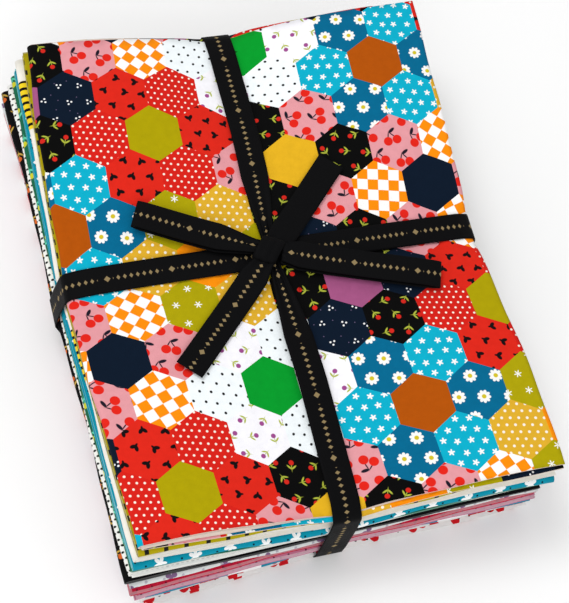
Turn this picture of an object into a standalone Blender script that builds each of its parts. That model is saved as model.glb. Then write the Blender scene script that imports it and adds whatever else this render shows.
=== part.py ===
"""Fat quarter bundle: twelve folded fat quarters of cotton, tied both ways with a flat ribbon and a bow.

Metres, +Z up. X runs along the short sides, Y along the long sides. The bundle is drawn from the top
fat quarter's front left corner and moved at the end, so that the origin is the middle of its footprint.
"""

import math

import bmesh
import bpy
from mathutils import Vector

MM = 0.001

# Cloth and how it is folded: four layers, folded in half twice
CLOTH = 1.25 * MM
LAYER_GAP = 0.22 * MM
QUARTER_GAP = 0.42 * MM
LAYER_PITCH = CLOTH + LAYER_GAP
QUARTER_PITCH = 4 * CLOTH + 3 * LAYER_GAP + QUARTER_GAP
OUTER_FOLD_RADIUS = 1.5 * LAYER_PITCH
INNER_FOLD_RADIUS = 0.5 * LAYER_PITCH
OUTER_FOLD_STEPS = 6
INNER_FOLD_STEPS = 4
RAGGED_EDGE = 1.3 * MM
RAGGED_STEP = math.radians(137.5)

# Ribbon and where its two bands cross
RIBBON_WIDTH = 15.2 * MM
RIBBON = 1.0 * MM
RIBBON_GAP = 0.35 * MM
CROSSING_X = 107 * MM
CROSSING_Y = 145 * MM

# How the tie presses the stack: flat under the band, then a slope out to the plump corners
PRESSED_HALF_WIDTH = 9 * MM
SLOPE_END = 82 * MM
PRESS_AT_EDGE = 12.5 * MM
PRESS_AT_CROSSING = 11 * MM
RIBBON_OFF_FLOOR = 0.1 * MM
LIFT_OVER_RIBBON = RIBBON_OFF_FLOOR + RIBBON + RIBBON_GAP

# Every layer has its creases on the same lines, so that neighbours stay parallel
CREASES = (-SLOPE_END, -PRESSED_HALF_WIDTH, PRESSED_HALF_WIDTH, SLOPE_END)

# The fat quarters from the top down. x, y: front left corner, mm. turn: degrees anticlockwise.
# wide, long: folded size, mm. bow_left, bow_right: how far those edges' middles bulge along X, mm.
# waist: how far the band pulls the front edge in, mm.
QUARTER_COLUMNS = "name fold x y turn wide long bow_left bow_right waist colour"
QUARTERS = [
    ("fq_01", "left", 0.0, 0.0, 0.0, 221, 283, -6, -3, 0.0, (0.80, 0.12, 0.05)),
    ("fq_02", "front", -0.5, -0.8, 0.4, 222, 283, -5, -2, 0.0, (0.42, 0.36, 0.02)),
    ("fq_03", "left", -1.5, -2.6, 0.9, 223, 285, -3, -1, 0.3, (0.85, 0.83, 0.78)),
    ("fq_04", "front", -2.9, -4.6, 0.75, 225, 284, -3.2, 0, 0.3, (0.02, 0.30, 0.38)),
    ("fq_05", "left", -2.7, -3.9, 1.2, 227, 284, -2.1, 0, 0.6, (0.01, 0.30, 0.06)),
    ("fq_06", "left", -3.3, -4.4, 1.45, 228, 283, -1.5, 0, 0.9, (0.80, 0.80, 0.78)),
    ("fq_07", "left", -4.0, -6.0, 1.9, 226, 284, 0, 0, 1.2, (0.01, 0.01, 0.012)),
    ("fq_08", "front", -3.0, -7.0, 2.0, 226, 283, 3, 0, 1.5, (0.66, 0.68, 0.68)),
    ("fq_09", "back", -1.5, -8.3, 2.3, 224, 283, 3.5, 0, 1.8, (0.55, 0.01, 0.03)),
    ("fq_10", "back", 2.5, -9.8, 2.6, 221, 284, 3, 0, 2.2, (0.62, 0.25, 0.38)),
    ("fq_11", "front", 3.5, -9.4, 2.8, 220, 282, 2, 0, 2.5, (0.02, 0.36, 0.45)),
    ("fq_12", "left", 6.0, -10.8, 3.1, 218, 283, 1, 0, 2.8, (0.85, 0.82, 0.80)),
]
STACK_HEIGHT = len(QUARTERS) * QUARTER_PITCH - QUARTER_GAP

# Finishes, which aren't metal
COTTON_ROUGHNESS = 0.9
RIBBON_COLOUR = (0.008, 0.008, 0.009)
RIBBON_ROUGHNESS = 0.45

# Two points closer than this are the same one
SAME_PLACE = 0.01 * MM

# The bow's knot, as a round lump: up from the ribbon's crossing and out from its axis, mm.
# It is tied a little to the left of where the taut bands would cross.
BOW_X = 102.5 * MM
BOW_Y = 144 * MM
KNOT_RADIUS = 8.5 * MM
KNOT_SIDES = 20
KNOT_PROFILE_COLUMNS = "up out"
KNOT_PROFILE = [(0.0, 6.4), (0.7, 7.9), (1.7, 8.5), (4.9, 8.4), (6.2, 7.2), (7.0, 4.8), (7.3, 2.0)]

# Loops and tails leave the knot's side, gathered, and spread to the full width further out
GATHERED_WIDTH = 10 * MM
SPREAD_FROM = 10 * MM
SPREAD_TO = 17 * MM
BOW_COLUMNS = "name side heading reach"
BOW = [
    ("tie_loop_left", "loop", 154.4, 74),
    ("tie_loop_right", "loop", -18.9, 91),
    ("tie_tail_upper", "tail", 45.8, 66),
    ("tie_tail_lower", "tail", 225.2, 83),
]
# Side views. out: share of the reach from the knot. up: mm above what lies under the ribbon.
SIDE_COLUMNS = "out up"
SIDES = {
    "loop": [
        (0.00, 2.4), (0.15, 1.8), (0.40, 1.4), (0.75, 1.4), (0.92, 1.6), (0.985, 2.4),
        (1.00, 3.3), (0.985, 4.2), (0.92, 4.8), (0.75, 4.9), (0.45, 4.9), (0.20, 5.3), (0.00, 6.0),
    ],
    "tail": [(0.00, 4.4), (0.12, 3.4), (0.28, 1.9), (0.50, 1.3), (0.75, 1.3), (0.90, 1.5), (1.00, 2.1)],
}


def rows(table, columns):
    """The table's rows as dictionaries keyed by its column names."""
    return [dict(zip(columns.split(), row)) for row in table]


def clear_scene():
    for thing in list(bpy.data.objects):
        bpy.data.objects.remove(thing, do_unlink=True)


def material(name, colour, roughness):
    """A plain Principled material for cloth."""
    made = bpy.data.materials.new(name)
    made.use_nodes = True
    shader = made.node_tree.nodes["Principled BSDF"]
    shader.inputs["Base Color"].default_value = (*colour, 1.0)
    shader.inputs["Roughness"].default_value = roughness
    shader.inputs["Metallic"].default_value = 0.0
    return made


def add_object(name, points, faces, finish):
    """A mesh object from its points and faces."""
    mesh = bpy.data.meshes.new(name)
    mesh.from_pydata(points, [], faces)
    mesh.materials.append(finish)
    made = bpy.data.objects.new(name, mesh)
    bpy.context.collection.objects.link(made)
    return made


def slope_share(distance):
    """0 under a band, 1 from where the cloth is no longer pressed by it."""
    share = (abs(distance) - PRESSED_HALF_WIDTH) / (SLOPE_END - PRESSED_HALF_WIDTH)
    return min(1.0, max(0.0, share))


def press_shares(x, y):
    """How far a place is from the bands: the farther and the nearer of the two shares."""
    beside_long_band = slope_share(x - CROSSING_X)
    beside_cross_band = slope_share(y - CROSSING_Y)
    return max(beside_long_band, beside_cross_band), min(beside_long_band, beside_cross_band)


def stack_top(x, y):
    """Height of the pressed stack's upper surface."""
    farther, nearer = press_shares(x, y)
    drop = PRESS_AT_CROSSING + (PRESS_AT_EDGE - PRESS_AT_CROSSING) * farther - PRESS_AT_EDGE * nearer
    return STACK_HEIGHT - drop


def stack_bottom(x, y):
    """Height of its lower surface, which lies on the floor and over the ribbon's two bands."""
    nearer = press_shares(x, y)[1]
    return LIFT_OVER_RIBBON * (1 - nearer)


def pressed(x, y, level):
    """A place in the stack, with its height before pressing, as a point of the tied bundle."""
    bottom = stack_bottom(x, y)
    height = bottom + (stack_top(x, y) - bottom) * level / STACK_HEIGHT
    return Vector((x, y, height))


def corner(quarter, side_x, side_y):
    """A corner of a folded fat quarter, such as ("left", "front")."""
    turn = math.radians(quarter["turn"])
    across = quarter["wide"] * MM if side_x == "right" else 0.0
    along = quarter["long"] * MM if side_y == "back" else 0.0
    x = quarter["x"] * MM + across * math.cos(turn) - along * math.sin(turn)
    y = quarter["y"] * MM + across * math.sin(turn) + along * math.cos(turn)
    return x, y


def edge_x(quarter, side, y):
    """Where the left or right edge runs at a given y, with its bulge."""
    x_front, y_front = corner(quarter, side, "front")
    x_back, y_back = corner(quarter, side, "back")
    share = (y - y_front) / (y_back - y_front)
    bulge = 4 * share * (1 - share) * quarter["bow_" + side] * MM
    return x_front + (x_back - x_front) * share + bulge


def edge_y(quarter, side, x):
    """Where the front or back edge runs at a given x, pulled in at the front by the band."""
    x_left, y_left = corner(quarter, "left", side)
    x_right, y_right = corner(quarter, "right", side)
    straight = y_left + (y_right - y_left) * (x - x_left) / (x_right - x_left)
    if side == "back":
        return straight
    return straight + quarter["waist"] * MM * (1 - slope_share(x - CROSSING_X))


def place(quarter, spot_x, spot_y):
    """x and y of a spot. A spot is ("line", value), or an edge's name and the distance in from it."""
    kind_x, value_x = spot_x
    kind_y, value_y = spot_y
    if kind_x == "line" and kind_y == "line":
        return value_x, value_y
    if kind_x == "line":
        inward = value_y if kind_y == "front" else -value_y
        return value_x, edge_y(quarter, kind_y, value_x) + inward
    step_in = value_x if kind_x == "left" else -value_x
    if kind_y == "line":
        return edge_x(quarter, kind_x, value_y) + step_in, value_y
    near_y = corner(quarter, kind_x, kind_y)[1]
    x = edge_x(quarter, kind_x, near_y) + step_in
    inward = value_y if kind_y == "front" else -value_y
    return x, edge_y(quarter, kind_y, x) + inward


def fold_turn(side, inset, middle, radius, start, steps, towards):
    """The spots of a fold between its two straight layers, inner and outer side of the cloth.

    The fold's centre is `inset` in from the edge and `middle` above the fat quarter's underside.
    `start` is +1 where it begins in the upper layer; `towards` is +1 where the inner side comes first.
    """
    spots = []
    for step in range(1, steps):
        angle = math.pi * step / steps
        out = math.sin(angle)
        up = start * math.cos(angle)
        pair = []
        for half in (-towards, towards):
            reach = radius + half * CLOTH / 2
            pair.append(((side, inset - reach * out), middle + reach * up))
        spots.append(pair)
    return spots


def straight_layer(spots, middle, first_side):
    """A flat layer's spots, with the two faces of the cloth in a fixed order along the section."""
    return [
        [(spot, middle + first_side * CLOTH / 2), (spot, middle - first_side * CLOTH / 2)] for spot in spots
    ]


def folded_section(fold, free, lines, ragged):
    """One strip folded in half and in half again, from its top free end to its inner free end.

    Each entry is the pair of points on the cloth's two faces: (spot, height over the underside).
    """
    heights = [CLOTH / 2 + LAYER_PITCH * layer for layer in range(4)]
    middle = (heights[0] + heights[3]) / 2
    near_fold = (fold, OUTER_FOLD_RADIUS)
    near_free = (free, INNER_FOLD_RADIUS)
    outwards = [near_fold, *lines]
    top_layer = [(free, ragged), *reversed(lines), near_fold]
    bottom_layer = [*outwards, near_free]
    inner_low_layer = [near_free, *reversed(lines), near_fold]
    inner_high_layer = [*outwards, (free, -ragged)]
    lower_middle = (heights[0] + heights[1]) / 2
    section = straight_layer(top_layer, heights[3], 1)
    section += fold_turn(fold, OUTER_FOLD_RADIUS, middle, OUTER_FOLD_RADIUS, 1, OUTER_FOLD_STEPS, -1)
    section += straight_layer(bottom_layer, heights[0], -1)
    section += fold_turn(free, INNER_FOLD_RADIUS, lower_middle, INNER_FOLD_RADIUS, -1, INNER_FOLD_STEPS, -1)
    section += straight_layer(inner_low_layer, heights[1], 1)
    section += fold_turn(fold, OUTER_FOLD_RADIUS, middle, INNER_FOLD_RADIUS, -1, INNER_FOLD_STEPS, 1)
    section += straight_layer(inner_high_layer, heights[2], -1)
    return section


def split_quad(points, quad):
    """Two triangles, cut along the line that runs from the crossing out to the stack's corner."""
    def outwardness(index):
        return abs(points[index].x - CROSSING_X) + abs(points[index].y - CROSSING_Y)

    a, b, c, d = quad
    if abs(outwardness(a) - outwardness(c)) >= abs(outwardness(b) - outwardness(d)):
        return [(a, b, c), (a, c, d)]
    return [(b, c, d), (b, d, a)]


def folded_mesh(points, across, along):
    """Faces of a folded sheet whose points run face by face, across the section, then along it."""
    def index(station, step, face):
        return (station * across + step) * 2 + face

    quads = []
    for station in range(along - 1):
        for step in range(across - 1):
            for face in (0, 1):
                ring = [(station, step), (station, step + 1), (station + 1, step + 1), (station + 1, step)]
                if face:
                    ring.reverse()
                quads.append([index(*corner_at, face) for corner_at in ring])
        for step in (0, across - 1):
            ring = [(station, 0), (station + 1, 0), (station + 1, 1), (station, 1)]
            if step:
                ring.reverse()
            quads.append([index(at, step, face) for at, face in ring])
    for step in range(across - 1):
        for station in (0, along - 1):
            ring = [(step, 0), (step, 1), (step + 1, 1), (step + 1, 0)]
            if station:
                ring.reverse()
            quads.append([index(station, at, face) for at, face in ring])
    faces = []
    for quad in quads:
        faces += split_quad(points, quad)
    return faces


def fat_quarter(quarter, place_in_stack):
    """One folded fat quarter, pressed with the stack."""
    opposite = {"left": "right", "right": "left", "front": "back", "back": "front"}
    fold = quarter["fold"]
    free = opposite[fold]
    folds_along_y = fold in ("left", "right")
    lines_x = [("line", CROSSING_X + crease) for crease in CREASES]
    lines_y = [("line", CROSSING_Y + crease) for crease in CREASES]
    lines = lines_x if folds_along_y else lines_y
    if fold in ("right", "back"):
        lines = lines[::-1]
    stations = [("front", 0.0), *lines_y, ("back", 0.0)] if folds_along_y else [
        ("left", 0.0), *lines_x, ("right", 0.0)]
    ragged = RAGGED_EDGE * math.sin(RAGGED_STEP * place_in_stack)
    section = folded_section(fold, free, lines, ragged)
    underside = (len(QUARTERS) - 1 - place_in_stack) * QUARTER_PITCH
    points = []
    for station in stations:
        for pair in section:
            for spot, height in pair:
                spots = (spot, station) if folds_along_y else (station, spot)
                points.append(pressed(*place(quarter, *spots), underside + height))
    faces = folded_mesh(points, len(section), len(stations))
    finish = material("cotton " + quarter["name"], quarter["colour"], COTTON_ROUGHNESS)
    made = add_object(quarter["name"], points, faces, finish)
    face_outwards(made)
    return made


def face_outwards(thing):
    """Turns a closed mesh the right way out, if its faces point inwards."""
    shell = bmesh.new()
    shell.from_mesh(thing.data)
    if shell.calc_volume(signed=True) < 0:
        bmesh.ops.reverse_faces(shell, faces=shell.faces)
    shell.to_mesh(thing.data)
    shell.free()


def convex_outline(places):
    """The convex outline of points in a plane, anticlockwise."""
    ordered = sorted(set(places))

    def half(sequence):
        chain = []
        for point in sequence:
            while len(chain) > 1 and turns_right(chain[-2], chain[-1], point):
                chain.pop()
            chain.append(point)
        return chain[:-1]

    return half(ordered) + half(ordered[::-1])


def turns_right(first, second, third):
    run = (second[0] - first[0], second[1] - first[1])
    rise = (third[0] - first[0], third[1] - first[1])
    return run[0] * rise[1] - run[1] * rise[0] <= 1e-12


def grown_outline(outline, distance):
    """A convex outline moved outwards by a distance, with mitred corners."""
    grown = []
    for index, here in enumerate(outline):
        before = Vector(here) - Vector(outline[index - 1])
        after = Vector(outline[(index + 1) % len(outline)]) - Vector(here)
        normal_before = Vector((before.y, -before.x)).normalized()
        normal_after = Vector((after.y, -after.x)).normalized()
        miter = (normal_before + normal_after).normalized()
        grown.append(Vector(here) + miter * distance / miter.dot(normal_after))
    return grown


def taut_band_route(quarters, axis, crossing):
    """The band's middle line round the stack in the plane along an axis: (along, height) points."""
    other = 1 - axis
    middle = (CROSSING_X, CROSSING_Y)[other]
    beside = []
    for quarter in quarters:
        for vertex in quarter.data.vertices:
            if abs(vertex.co[other] - middle) < PRESSED_HALF_WIDTH + SAME_PLACE:
                beside.append((round(vertex.co[axis], 6), round(vertex.co[2], 6)))
    route = grown_outline(convex_outline(beside), RIBBON_GAP + RIBBON / 2)
    return with_crossings(route, crossing)


def with_crossings(route, crossing):
    """The route with points added on its top and bottom at the crossing band's two edges."""
    complete = []
    for index, here in enumerate(route):
        complete.append(here)
        ahead = route[(index + 1) % len(route)]
        between = []
        for edge in (crossing - RIBBON_WIDTH / 2, crossing + RIBBON_WIDTH / 2):
            if min(here.x, ahead.x) < edge < max(here.x, ahead.x):
                share = (edge - here.x) / (ahead.x - here.x)
                between.append((share, here.lerp(ahead, share)))
        complete += [point for share, point in sorted(between, key=lambda item: item[0])]
    return complete


def tie_band(quarters, finish):
    """The ribbon's cross: both bands round the whole stack, joined where they cross over and under."""
    half = RIBBON_WIDTH / 2
    shell = bmesh.new()
    for axis, middle, crossing in ((0, CROSSING_Y, CROSSING_X), (1, CROSSING_X, CROSSING_Y)):
        route = taut_band_route(quarters, axis, crossing)
        pairs = []
        for along, height in route:
            pair = []
            for side in (middle - half, middle + half):
                place_on_band = (along, side, height) if axis == 0 else (side, along, height)
                pair.append(shell.verts.new(place_on_band))
            pairs.append(pair)
        for index, pair in enumerate(pairs):
            ahead = pairs[(index + 1) % len(pairs)]
            centre = (route[index].x + route[(index + 1) % len(route)].x) / 2
            if axis == 1 and abs(centre - crossing) < half - SAME_PLACE:
                continue
            shell.faces.new((pair[0], pair[1], ahead[1], ahead[0]))
    bmesh.ops.remove_doubles(shell, verts=shell.verts, dist=SAME_PLACE)
    bmesh.ops.recalc_face_normals(shell, faces=shell.faces)
    mesh = bpy.data.meshes.new("tie_band")
    shell.to_mesh(mesh)
    shell.free()
    mesh.materials.append(finish)
    made = bpy.data.objects.new("tie_band", mesh)
    bpy.context.collection.objects.link(made)
    thicken(made)
    return made


def thicken(thing):
    """Gives a ribbon's middle surface the ribbon's thickness."""
    solid = thing.modifiers.new("ribbon thickness", "SOLIDIFY")
    solid.thickness = RIBBON
    solid.offset = 0.0
    solid.use_even_offset = True


def tie_knot(finish):
    """The bow's knot, a round lump just over the crossing of the two bands."""
    foot = stack_top(CROSSING_X, CROSSING_Y) + 2 * RIBBON_GAP + RIBBON
    shell = bmesh.new()
    rings = []
    for step in rows(KNOT_PROFILE, KNOT_PROFILE_COLUMNS):
        ring = []
        for side in range(KNOT_SIDES):
            angle = 2 * math.pi * side / KNOT_SIDES
            out = step["out"] * MM
            x = BOW_X + out * math.cos(angle)
            y = BOW_Y + out * math.sin(angle)
            ring.append(shell.verts.new((x, y, foot + step["up"] * MM)))
        rings.append(ring)
    for lower, upper in zip(rings, rings[1:]):
        for side in range(KNOT_SIDES):
            ahead = (side + 1) % KNOT_SIDES
            shell.faces.new((lower[side], lower[ahead], upper[ahead], upper[side]))
    shell.faces.new(rings[0][::-1])
    shell.faces.new(rings[-1])
    mesh = bpy.data.meshes.new("tie_knot")
    shell.to_mesh(mesh)
    shell.free()
    mesh.materials.append(finish)
    made = bpy.data.objects.new("tie_knot", mesh)
    bpy.context.collection.objects.link(made)
    mesh.shade_smooth()
    return made


def ground_under(centre, sideways):
    """The highest of the cloth and the crossing bands under a ribbon's width."""
    bands_top = stack_top(CROSSING_X, CROSSING_Y) + RIBBON_GAP + RIBBON
    heights = [bands_top]
    for share in (-1, 0, 1):
        spot = centre + sideways * share
        heights.append(stack_top(spot.x, spot.y))
    return max(heights)


def width_at(distance):
    """A loop's or tail's width, gathered at the knot."""
    share = (distance - SPREAD_FROM) / (SPREAD_TO - SPREAD_FROM)
    return GATHERED_WIDTH + (RIBBON_WIDTH - GATHERED_WIDTH) * min(1.0, max(0.0, share))


def bow_piece(piece, finish):
    """A loop or a tail: a strip that follows its side view out from the knot."""
    heading = math.radians(piece["heading"])
    outwards = Vector((math.cos(heading), math.sin(heading), 0))
    sideways = Vector((-outwards.y, outwards.x, 0))
    start = KNOT_RADIUS + RIBBON_GAP
    points = []
    for step in rows(SIDES[piece["side"]], SIDE_COLUMNS):
        distance = start + (piece["reach"] * MM - start) * step["out"]
        centre = Vector((BOW_X, BOW_Y, 0)) + outwards * distance
        half = width_at(distance) / 2
        height = ground_under(centre, sideways * half) + step["up"] * MM
        for side in (-1, 1):
            points.append((*(centre + sideways * half * side).xy, height))
    faces = []
    for step in range(len(points) // 2 - 1):
        first = 2 * step
        faces.append((first, first + 1, first + 3, first + 2))
    made = add_object(piece["name"], points, faces, finish)
    thicken(made)
    return made


def stand_at_origin(things):
    """Moves the whole bundle so that the origin is the middle of its footprint, on the floor."""
    graph = bpy.context.evaluated_depsgraph_get()
    corners = []
    for thing in things:
        shape = thing.evaluated_get(graph).to_mesh()
        corners += [tuple(vertex.co) for vertex in shape.vertices]
    low = [min(values) for values in zip(*corners)]
    high = [max(values) for values in zip(*corners)]
    step = Vector((-(low[0] + high[0]) / 2, -(low[1] + high[1]) / 2, -low[2]))
    for thing in things:
        thing.location = step


def build():
    clear_scene()
    black_ribbon = material("black ribbon", RIBBON_COLOUR, RIBBON_ROUGHNESS)
    quarters = [fat_quarter(row, index) for index, row in enumerate(rows(QUARTERS, QUARTER_COLUMNS))]
    things = quarters + [tie_band(quarters, black_ribbon), tie_knot(black_ribbon)]
    things += [bow_piece(row, black_ribbon) for row in rows(BOW, BOW_COLUMNS)]
    stand_at_origin(things)


build()
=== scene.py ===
import math

import bmesh
import bpy
from mathutils import Matrix, Vector


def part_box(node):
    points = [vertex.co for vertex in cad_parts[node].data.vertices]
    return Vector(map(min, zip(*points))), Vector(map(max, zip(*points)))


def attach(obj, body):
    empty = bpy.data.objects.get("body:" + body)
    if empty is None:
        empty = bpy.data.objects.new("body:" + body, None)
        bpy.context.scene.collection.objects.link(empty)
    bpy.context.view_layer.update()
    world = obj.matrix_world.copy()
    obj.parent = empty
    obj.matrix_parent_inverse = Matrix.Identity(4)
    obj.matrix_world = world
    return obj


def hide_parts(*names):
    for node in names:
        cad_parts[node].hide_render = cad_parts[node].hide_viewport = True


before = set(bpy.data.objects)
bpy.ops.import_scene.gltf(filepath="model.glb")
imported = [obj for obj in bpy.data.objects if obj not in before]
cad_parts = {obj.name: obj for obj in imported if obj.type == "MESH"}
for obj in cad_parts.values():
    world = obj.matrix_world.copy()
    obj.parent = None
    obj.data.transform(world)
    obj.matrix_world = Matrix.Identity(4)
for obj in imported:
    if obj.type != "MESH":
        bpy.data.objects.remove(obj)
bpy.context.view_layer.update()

# The studio. The tied bundle lies on a pale table under one big soft light from the upper left, and
# is seen from above its front left corner. Places are measured from the top fat quarter's front left
# corner, X along its short side and Y along its long side.
MM = 0.001
TIE_CROSSING = Vector((107 * MM, 145 * MM, 0))
BOW_MIDDLE = Vector((102.5 * MM, 144 * MM, 0))
knot_low, knot_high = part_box("tie_knot")
stack_corner = (knot_low + knot_high) / 2 - BOW_MIDDLE
stack_corner.z = 0
STACK_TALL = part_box("fq_01")[1].z

EYE_FROM_CORNER = Vector((-0.1162, -0.1858, 0.7326))
LOOKS_ALONG = Vector((0.2642, 0.3636, -0.8933))
PICTURE_UP = Vector((0.1534, 0.8986, 0.4111))
LENS_MM = 95.4

camera = bpy.data.objects.new("studio_camera", bpy.data.cameras.new("studio_camera"))
bpy.context.collection.objects.link(camera)
back = -LOOKS_ALONG.normalized()
right = PICTURE_UP.cross(back).normalized()
camera.matrix_world = Matrix.Translation(stack_corner + Vector((0, 0, STACK_TALL)) + EYE_FROM_CORNER) @ (
    Matrix((right, back.cross(right), back)).transposed().to_4x4())
camera.data.lens = LENS_MM
camera.data.sensor_width = 36
camera.data.clip_start = 0.05
bpy.context.scene.camera = camera
bpy.context.scene.view_settings.view_transform = "Standard"


def softbox(name, place, size, watts, aim=(0, 0, 0.04)):
    """A square studio light aimed at the bundle."""
    light = bpy.data.lights.new(name, "AREA")
    light.shape = "SQUARE"
    light.size = size
    light.energy = watts
    lamp = bpy.data.objects.new(name, light)
    bpy.context.collection.objects.link(lamp)
    lamp.location = place
    lamp.rotation_euler = (Vector(place) - Vector(aim)).to_track_quat("Z", "Y").to_euler()


softbox("key_softbox", (-0.55, 0.48, 1.65), 0.7, 11.5)
softbox("front_softbox", (-0.5, -1.5, 1.1), 1.4, 11)

studio_air = bpy.data.worlds.new("studio_air")
studio_air.use_nodes = True
studio_air.node_tree.nodes["Background"].inputs["Color"].default_value = (1, 1, 1, 1)
studio_air.node_tree.nodes["Background"].inputs["Strength"].default_value = 0.68
bpy.context.scene.world = studio_air

table_mesh = bpy.data.meshes.new("studio_table")
TABLE_HALF = 3.0
table_mesh.from_pydata([(x * TABLE_HALF, y * TABLE_HALF, -0.0004)
                        for x, y in ((-1, -1), (1, -1), (1, 1), (-1, 1))], [], [(0, 1, 2, 3)])
table = bpy.data.objects.new("studio_table", table_mesh)
bpy.context.collection.objects.link(table)
table_paint = bpy.data.materials.new("pale table")
table_paint.use_nodes = True
table_paint.node_tree.nodes["Principled BSDF"].inputs["Base Color"].default_value = (0.93, 0.93, 0.93, 1)
table_paint.node_tree.nodes["Principled BSDF"].inputs["Roughness"].default_value = 0.9
table.data.materials.append(table_paint)

# The stack under its tie. Each fat quarter is quilting cotton cut 18 x 22 inches, folded in half and in
# half again, and laid a little askew on the one below. The ribbon presses the pile down where it
# crosses, and the corners stay plump.
LAYER = 1.25 * MM
LAYER_STEP = 1.47 * MM
QUARTER_STEP = 6.08 * MM
OUTER_FOLD = 1.5 * LAYER_STEP
INNER_FOLD = 0.5 * LAYER_STEP
RAGGED = 1.3 * MM
SKEW_DEEP = 1.5 * MM
SKEW_REACH = 50 * MM
WAVE_DEEP = 0.5 * MM
WAVE_REACH = 30 * MM

# x, y: front left corner, mm. turn: degrees anticlockwise. wide, long: folded size, mm.
# bow_left, bow_right: how far those edges' middles bulge along X, mm.
# waist: how far the band pulls the front edge in, mm.
QUARTER_COLUMNS = "node fold x y turn wide long bow_left bow_right waist"
QUARTERS = [dict(zip(QUARTER_COLUMNS.split(), row)) for row in (
    ("fq_01", "left", 0.0, 0.0, 0.0, 221, 283, -6, -3, 0.0),
    ("fq_02", "front", -0.5, -0.8, 0.4, 222, 283, -5, -2, 0.0),
    ("fq_03", "left", -1.5, -2.6, 0.9, 223, 285, -3, -1, 0.3),
    ("fq_04", "front", -2.9, -4.6, 0.75, 225, 284, -3.2, 0, 0.3),
    ("fq_05", "left", -2.7, -3.9, 1.2, 227, 284, -2.1, 0, 0.6),
    ("fq_06", "left", -3.3, -4.4, 1.45, 228, 283, -1.5, 0, 0.9),
    ("fq_07", "left", -4.0, -6.0, 1.9, 226, 284, 0, 0, 1.2),
    ("fq_08", "front", -3.0, -7.0, 2.0, 226, 283, 3, 0, 1.5),
    ("fq_09", "back", -1.5, -8.3, 2.3, 224, 283, 3.5, 0, 1.8),
    ("fq_10", "back", 2.5, -9.8, 2.6, 221, 284, 3, 0, 2.2),
    ("fq_11", "front", 3.5, -9.4, 2.8, 220, 282, 2, 0, 2.5),
    ("fq_12", "left", 6.0, -10.8, 3.1, 218, 283, 1, 0, 2.8),
)]

PRESS_AT_EDGE = 12.5 * MM
PRESS_AT_CROSSING = 11 * MM
BAND_HALF = 8 * MM
SLOPE_REACH = 92 * MM
RIBBON_UNDER = 1.45 * MM
PUCKER_DEEP = 0.5 * MM
PUCKER_REACH = 20 * MM
ROUNDED_DEEP = 2.4 * MM
ROUNDED_REACH = 12 * MM


def away_from_band(distance):
    """0 under a band, rising to 1 where the cloth no longer feels it."""
    share = min(1.0, max(0.0, (abs(distance) - BAND_HALF) / SLOPE_REACH))
    rise = math.sin(share * math.pi / 2)
    return rise, rise / (2 - rise)


def stack_height(x, y):
    """Height of the pressed pile's top, without its small creases."""
    rise_x, plump_x = away_from_band(x - TIE_CROSSING.x)
    rise_y, plump_y = away_from_band(y - TIE_CROSSING.y)
    plump = 2 * plump_x * plump_y / (plump_x + plump_y) if plump_x + plump_y else 0.0
    at_crossing = (PRESS_AT_EDGE - PRESS_AT_CROSSING) * (1 - rise_x) * (1 - rise_y)
    return STACK_TALL - PRESS_AT_EDGE * (1 - plump) + at_crossing


# Soft troughs in the cloth near the top: two ends, depth and width, mm
CREASE_COLUMNS = "x1 y1 x2 y2 deep wide"
CREASES = [dict(zip(CREASE_COLUMNS.split(), row)) for row in (
    (118, 148, 176, 232, 0.9, 9), (122, 160, 150, 262, 0.7, 8), (90, 156, 44, 240, 0.8, 9),
    (88, 128, 26, 78, 0.8, 9), (92, 118, 70, 30, 0.7, 8), (124, 130, 204, 92, 0.9, 9),
    (120, 116, 168, 36, 0.8, 10), (186, 160, 216, 214, 0.7, 10), (10, 160, 34, 214, 0.7, 9),
)]


def crease_depth(x, y):
    """How much the listed creases and the ribbon's fine puckers lower the top layers."""
    depth = 0.0
    for crease in CREASES:
        start = Vector((crease["x1"], crease["y1"])) * MM
        run = Vector((crease["x2"], crease["y2"])) * MM - start
        along = (Vector((x, y)) - start).dot(run) / run.length_squared
        if -0.1 < along < 1.1:
            off = abs(run.cross(Vector((x, y)) - start)) / run.length
            fade = math.sin(math.pi * min(1.0, max(0.0, (along + 0.1) / 1.2)))
            depth += crease["deep"] * MM * fade * math.exp(-((off / (crease["wide"] * MM / 2)) ** 2))
    for across, along in ((x - TIE_CROSSING.x, y), (y - TIE_CROSSING.y, x)):
        near = math.exp(-abs(across) / PUCKER_REACH)
        depth += PUCKER_DEEP * near * math.sin(along / 0.0023 + 2.2 * math.sin(along / 0.011 + across / 0.02))
    return depth


def rolling(x, y):
    """The broad unevenness of a soft pile."""
    return MM * (0.7 * math.sin(x / 0.031 + 1.3) * math.sin(y / 0.037 + 0.4)
                 + 0.35 * math.sin(x / 0.017 + y / 0.023))


def in_stack(x, y, level):
    """A point of the pressed pile, from its place and its height before pressing."""
    rise_x, plump_x = away_from_band(x - TIE_CROSSING.x)
    rise_y, plump_y = away_from_band(y - TIE_CROSSING.y)
    bottom = RIBBON_UNDER * (1 - min(plump_x, plump_y) ** 0.5)
    share = level / STACK_TALL
    top = stack_height(x, y) + (rolling(x, y) - crease_depth(x, y)) * share ** 3
    return Vector((x, y, bottom + (top - bottom) * share))


def corner_of(quarter, right_side, back_side):
    turn = math.radians(quarter["turn"])
    across = quarter["wide"] * right_side
    along = quarter["long"] * back_side
    return Vector((quarter["x"] + across * math.cos(turn) - along * math.sin(turn),
                   quarter["y"] + across * math.sin(turn) + along * math.cos(turn))) * MM


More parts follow.
